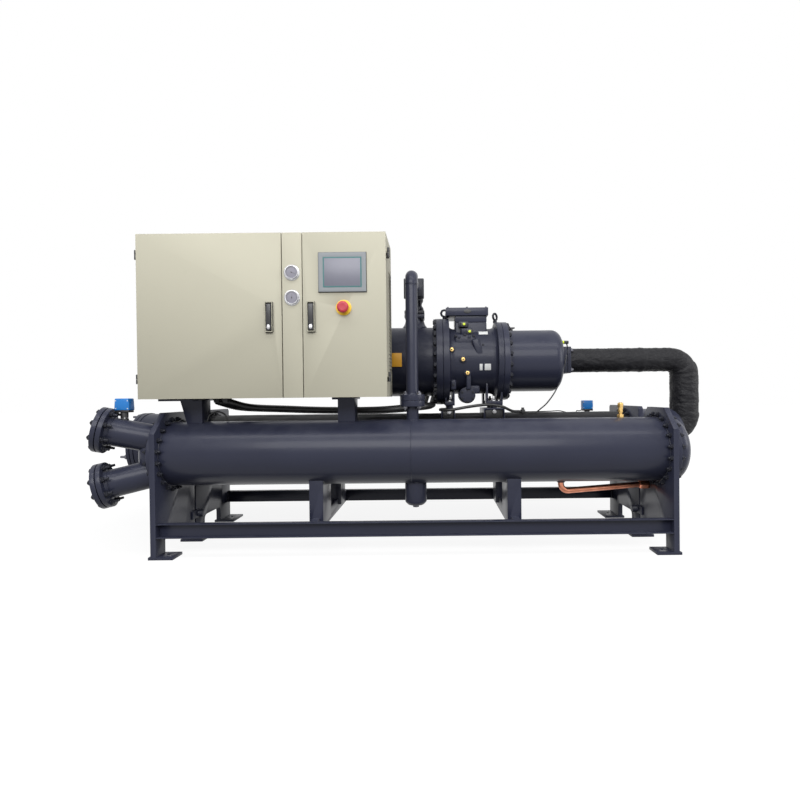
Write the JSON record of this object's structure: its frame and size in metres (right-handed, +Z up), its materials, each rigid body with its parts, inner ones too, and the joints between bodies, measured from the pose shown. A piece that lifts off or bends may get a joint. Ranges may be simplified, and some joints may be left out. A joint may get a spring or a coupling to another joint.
{
  "type": "water-cooled screw chiller",
  "caption": "Skid chiller: condenser and insulated evaporator shells side by side in tube-sheet legs, screw compressor on top and a two-door control cabinet.",
  "frame": {"origin": "on the floor, in the middle of the machine's box", "axes": "+Z up, +X along the shells to the suction pipe's end, +Y from the cabinet's doors to the back"},
  "size_m": [3.914, 1.3288, 1.801],
  "materials": {
    "blue_grey_paint": "glossy dark blue-grey machine enamel",
    "dark_paint": "darker satin enamel on castings",
    "beige_powder_coat": "satin beige-grey powder coat, fine texture",
    "black_foam": "matt closed-cell foam insulation",
    "copper": "bare copper pipe, slightly dulled",
    "brass": "machined brass",
    "zinc_steel": "zinc-plated sheet steel",
    "black_plastic": "matt black plastic",
    "panel_grey": "grey plastic bezel round a dark screen",
    "yellow_plastic": "yellow plastic",
    "red_plastic": "red plastic",
    "blue_plastic": "blue plastic cover",
    "gauge_steel": "bright flange round a pale dial",
    "cable_rubber": "black rubber-covered conduit"
  },
  "bodies": {
    "base": {"condenser_sheet_left": "blue_grey_paint", "condenser_sheet_right": "blue_grey_paint", "evaporator_sheet_left": "blue_grey_paint", "evaporator_sheet_right": "blue_grey_paint", "front_beam": "blue_grey_paint", "rear_beam": "blue_grey_paint", "support_left": "blue_grey_paint", "support_right": "blue_grey_paint", "condenser_shell": "blue_grey_paint", "condenser_head_left": "blue_grey_paint", "condenser_head_right": "blue_grey_paint", "condenser_nozzle_upper": "blue_grey_paint", "condenser_nozzle_lower": "blue_grey_paint", "condenser_sump": "blue_grey_paint", "evaporator_head_left": "blue_grey_paint", "evaporator_head_right": "blue_grey_paint", "evaporator_nozzle_left": "blue_grey_paint", "evaporator_nozzle_right": "blue_grey_paint", "oil_separator": "blue_grey_paint", "compressor_body": "blue_grey_paint", "motor_housing": "blue_grey_paint", "suction_flange": "blue_grey_paint", "terminal_box": "blue_grey_paint", "compressor_saddle_left": "blue_grey_paint", "compressor_saddle_right": "blue_grey_paint", "discharge_elbow": "blue_grey_paint", "discharge_riser": "blue_grey_paint", "cabinet_bracket_left": "blue_grey_paint", "cabinet_bracket_right": "blue_grey_paint", "discharge_valve": "dark_paint", "cabinet_shell": "beige_powder_coat", "cabinet_frame": "beige_powder_coat", "centre_strip": "beige_powder_coat", "evaporator_shell": "black_foam", "suction_pipe": "black_foam", "liquid_line": "copper", "safety_valve": "brass", "mounting_plate": "zinc_steel", "condenser_flow_switch": "blue_plastic", "evaporator_flow_switch": "blue_plastic", "upper_gauge": "gauge_steel", "lower_gauge": "gauge_steel", "power_conduit_front": "cable_rubber", "power_conduit_rear": "cable_rubber"},
    "left_door": {"left_door": "beige_powder_coat"},
    "right_door": {"right_door": "beige_powder_coat", "operator_panel": "panel_grey", "stop_collar": "yellow_plastic"},
    "left_lever": {"left_lock_lever": "black_plastic"},
    "right_lever": {"right_lock_lever": "black_plastic"},
    "stop_button": {"stop_button": "red_plastic"}
  },
  "joints": [
    {"name": "left_door_hinge", "type": "hinge", "parent": "base", "child": "left_door", "pos_m": [-1.5335, -0.5535, 0.891], "axis": [0, 0, -1], "range_deg": [0, 110]},
    {"name": "right_door_hinge", "type": "hinge", "parent": "base", "child": "right_door", "pos_m": [-0.132, -0.5535, 0.891], "axis": [0, 0, 1], "range_deg": [0, 110]},
    {"name": "left_lever_hinge", "type": "hinge", "parent": "left_door", "child": "left_lever", "pos_m": [-0.789, -0.5875, 1.402], "axis": [-1, 0, 0], "range_deg": [0, 30]},
    {"name": "right_lever_hinge", "type": "hinge", "parent": "right_door", "child": "right_lever", "pos_m": [-0.558, -0.5875, 1.402], "axis": [-1, 0, 0], "range_deg": [0, 30]},
    {"name": "stop_button_slide", "type": "slide", "parent": "right_door", "child": "stop_button", "axis": [0, 1, 0], "range_m": [0, 0.006], "stiffness_N_per_m": 300}
  ]
}
